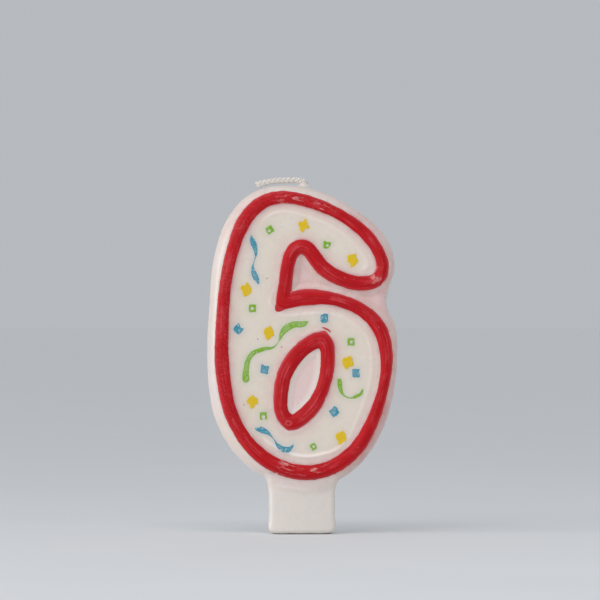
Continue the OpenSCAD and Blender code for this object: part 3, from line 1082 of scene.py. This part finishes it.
def red_material():
    recipe = Recipe(
        "red_wax_coat", Subsurface_Weight=0.05, Subsurface_Radius=(1.0, 0.2, 0.15),
        Subsurface_Scale=0.8 * MM, IOR=1.44, Specular_IOR_Level=0.24,
    )
    stroke = recipe.value("stroke", "Vector")
    across = recipe.value("across")
    streaks = recipe.noise(1, 3, 0.55, recipe.stretched(stroke, (0.00014, 0.00014, 0.003)))
    # The streaks are fainter where the brush turned
    calm = recipe.ramp(recipe.value("corner"), 0.0, 0.8, 1.0, 0.15)
    streaks = recipe.combine("ADD", recipe.times(recipe.combine("SUBTRACT", streaks, 0.5), calm), 0.5)
    clouds = recipe.noise(3.5, 3, 0.55)
    aside = recipe.combine("ABSOLUTE", across, 0.0)
    colour = recipe.mix(recipe.ramp(streaks, 0.35, 0.7), RED_DARK, RED)
    # Powdery bloom, strengthened on the left run as a painted sheen from the light on that side and
    # along the top; pale patches along the crest; and thin wax at the edges
    bloom_and_sheen_share = recipe.ramp(recipe.noise(0.4, 3, 0.7), 0.46, 0.72, 0.0, 0.5)
    bloom_and_sheen_share = recipe.times(bloom_and_sheen_share, recipe.ramp(recipe.value("bloom_and_sheen"), 0.0, 1.0, 0.2, 1.0))
    bloom_and_sheen_share = recipe.times(bloom_and_sheen_share, recipe.ramp(clouds, 0.3, 0.65, 0.4, 1.0))
    colour = recipe.mix(bloom_and_sheen_share, colour, RED_PALE)
    # Pale patches along the crest: partly wear, partly a painted crest highlight
    patches = recipe.ramp(recipe.combine("ADD", streaks, clouds), 0.95, 1.3, 0.0, 0.4)
    colour = recipe.mix(recipe.times(recipe.ramp(aside, 0.75, 0.1), patches), colour, RED_PALE)
    thin = recipe.times(recipe.ramp(aside, 0.82, 1.08, 0.0, 0.4), calm)
    colour = recipe.mix(thin, colour, RED_PALE)
    # Painted sheen: the outer side of each bead is paler
    colour = recipe.mix(recipe.ramp(across, -0.5, -1.05, 0.0, 0.3), colour, RED_PALE)
    rubs = recipe.noise(1, 3, 0.6, recipe.stretched(stroke, (0.0004, 0.0004, 0.0013)))
    bare = recipe.times(recipe.value("worn"), recipe.ramp(rubs, 0.5, 0.66, 0.0, 0.65))
    colour = recipe.mix(bare, colour, linear(232, 170, 168))
    colour = recipe.mix(recipe.times(recipe.value("knot"), 0.55), colour, RED_PALE)
    specks = recipe.ramp(recipe.spots(1.9), 0.1, 0.05, 0.0, 0.45)
    colour = recipe.mix(specks, colour, RED_PALE)
    roughness = recipe.ramp(recipe.noise(2, 3), 0.3, 0.7, 0.42, 0.56)
    grooves = recipe.bump(streaks, 0.03)
    grain = recipe.bump(recipe.noise(0.4, 3, 0.6), 0.018, grooves)
    return recipe.finish(colour, roughness, grain)


def ink_material(ink):
    recipe = Recipe(ink + "_ink", IOR=1.44, Specular_IOR_Level=0.3)
    tint = INK_COLOURS[ink]
    solid, thin = INK_PATCHES[ink]
    patches = recipe.noise(0.42, 2.0, 0.6)
    edge = recipe.ramp(recipe.value("edge_gap"), -0.02, 0.09)
    cover = recipe.times(edge, recipe.ramp(patches, solid - 0.1, solid, thin, 1.0))
    shade = recipe.mix(recipe.ramp(recipe.noise(0.4), 0.4, 0.7, 0.0, 0.06), tint, WAX_PALE)
    pale = recipe.ramp(recipe.value("edge_gap"), 0.12, 0.4)
    pale = recipe.times(pale, recipe.ramp(recipe.noise(1.6), 0.35, 0.6))
    shade = recipe.mix(recipe.times(pale, INK_POOLED[ink]), shade, WAX_PALE)
    colour = recipe.mix(cover, wax_colour(recipe), shade)
    roughness = recipe.ramp(patches, 0.3, 0.7, 0.3, 0.42)
    return recipe.finish(colour, roughness, recipe.bump(patches, 0.02))


def wick_material():
    recipe = Recipe(
        "waxed_cotton", Subsurface_Weight=0.2, Subsurface_Radius=(1.0, 0.8, 0.6),
        Subsurface_Scale=0.5 * MM, IOR=1.45,
    )
    fibres = recipe.noise(0.25, 4, 0.6)
    colour = recipe.mix(recipe.ramp(fibres, 0.3, 0.7), linear(212, 204, 196), linear(230, 222, 214))
    return recipe.finish(colour, recipe.ramp(fibres, 0.3, 0.7, 0.35, 0.6), recipe.bump(fibres, 0.05))


# ---- The assembly ----
def place_piece(piece, node, material):
    """Every piece rides on the candle's one body and stands for its own CAD node."""
    piece.data.materials.append(material)
    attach(piece, "root")
    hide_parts(node)


place_piece(make_wax_body(), "wax_body", wax_material())
red = red_material()
place_piece(make_coat(outline, "red_outline_coat"), "outline_bead", red)
place_piece(make_coat(counter, "red_counter_coat", SMEAR), "counter_bead", red)
place_piece(make_wick(), "wick", wick_material())
ink_materials = {ink: ink_material(ink) for ink in INKS}
for print_node in PRINT_NODES:
    print_ink = print_node.split("_")[0]
    place_piece(make_print(print_node), print_node, ink_materials[print_ink])


# ---- Floor, light and camera ----
FLOOR_RADIUS = 8.0  # metres


def make_floor():
    """A plain pale floor, wide enough that its edge is far from every view."""
    mesh = bpy.data.meshes.new("floor")
    turns = np.linspace(0, 2 * math.pi, 96, endpoint=False)
    corners = [(FLOOR_RADIUS * math.cos(a), FLOOR_RADIUS * math.sin(a), 0) for a in turns]
    mesh.from_pydata(corners, [], [tuple(range(len(corners)))])
    floor = bpy.data.objects.new("floor", mesh)
    bpy.context.scene.collection.objects.link(floor)
    recipe = Recipe("pale_floor")
    cloud = recipe.noise(60, 2)
    colour = recipe.mix(cloud, linear(229, 231, 232), linear(234, 235, 236))
    roughness = recipe.ramp(cloud, 0.3, 0.7, 0.7, 0.8)
    mesh.materials.append(recipe.finish(colour, roughness, recipe.bump(recipe.noise(2), 0.02)))


def aimed(name, lamp, place, target):
    light = bpy.data.objects.new(name, lamp)
    light.location = place
    light.rotation_euler = (Vector(target) - Vector(place)).to_track_quat("-Z", "Y").to_euler()
    bpy.context.scene.collection.objects.link(light)


def make_softbox(name, size, energy, place, target):
    lamp = bpy.data.lights.new(name, "AREA")
    lamp.shape = "RECTANGLE"
    lamp.size, lamp.size_y = size
    lamp.energy = energy
    aimed(name, lamp, place, target)


def make_stage():
    make_floor()
    middle = (0, 0, (cad_low[2] + cad_high[2]) / 2)
    # Even light on the whole floor, as bright there as the far background
    lamp = bpy.data.lights.new("room", "SUN")
    lamp.energy = 0.74
    lamp.angle = math.radians(50)
    aimed("room", lamp, (-0.6, -0.8, 0.45 + middle[2]), middle)
    make_softbox("key", (0.5, 0.75), 7.5, (-1.375, -0.425, 0.1415), middle)
    make_softbox("top", (0.3, 0.12), 0.32, (-0.02, -0.26, 0.42), middle)
    make_softbox("right", (0.15, 0.2), 0.2, (0.5, -0.15, 0.07), middle)
    make_softbox("low", (0.4, 0.08), 0.1, (-0.08, -0.45, 0.05), (0, 0, 0.02))
    world = bpy.data.worlds.new("studio")
    world.use_nodes = True
    background = world.node_tree.nodes["Background"]
    background.inputs["Color"].default_value = linear(240, 244, 250)
    background.inputs["Strength"].default_value = 0.54
    bpy.context.scene.world = world
    bpy.context.scene.view_settings.view_transform = "Standard"


LENS = 300
VIEW_HEIGHT = 0.1306  # of the picture, in the plane of the panel
VIEW_MIDDLE = (-0.0004, 0.0511)


def make_camera():
    """The view straight at the numeral's face, at the height of the middle of its picture."""
    lens = bpy.data.cameras.new("camera")
    lens.lens = LENS
    lens.sensor_width = 36
    camera = bpy.data.objects.new("camera", lens)
    distance = VIEW_HEIGHT * LENS / lens.sensor_width
    camera.location = (VIEW_MIDDLE[0], PANEL_Y * MM - distance, VIEW_MIDDLE[1])
    camera.rotation_euler = (math.pi / 2, 0, 0)
    bpy.context.scene.collection.objects.link(camera)
    bpy.context.scene.camera = camera


make_stage()
make_camera()
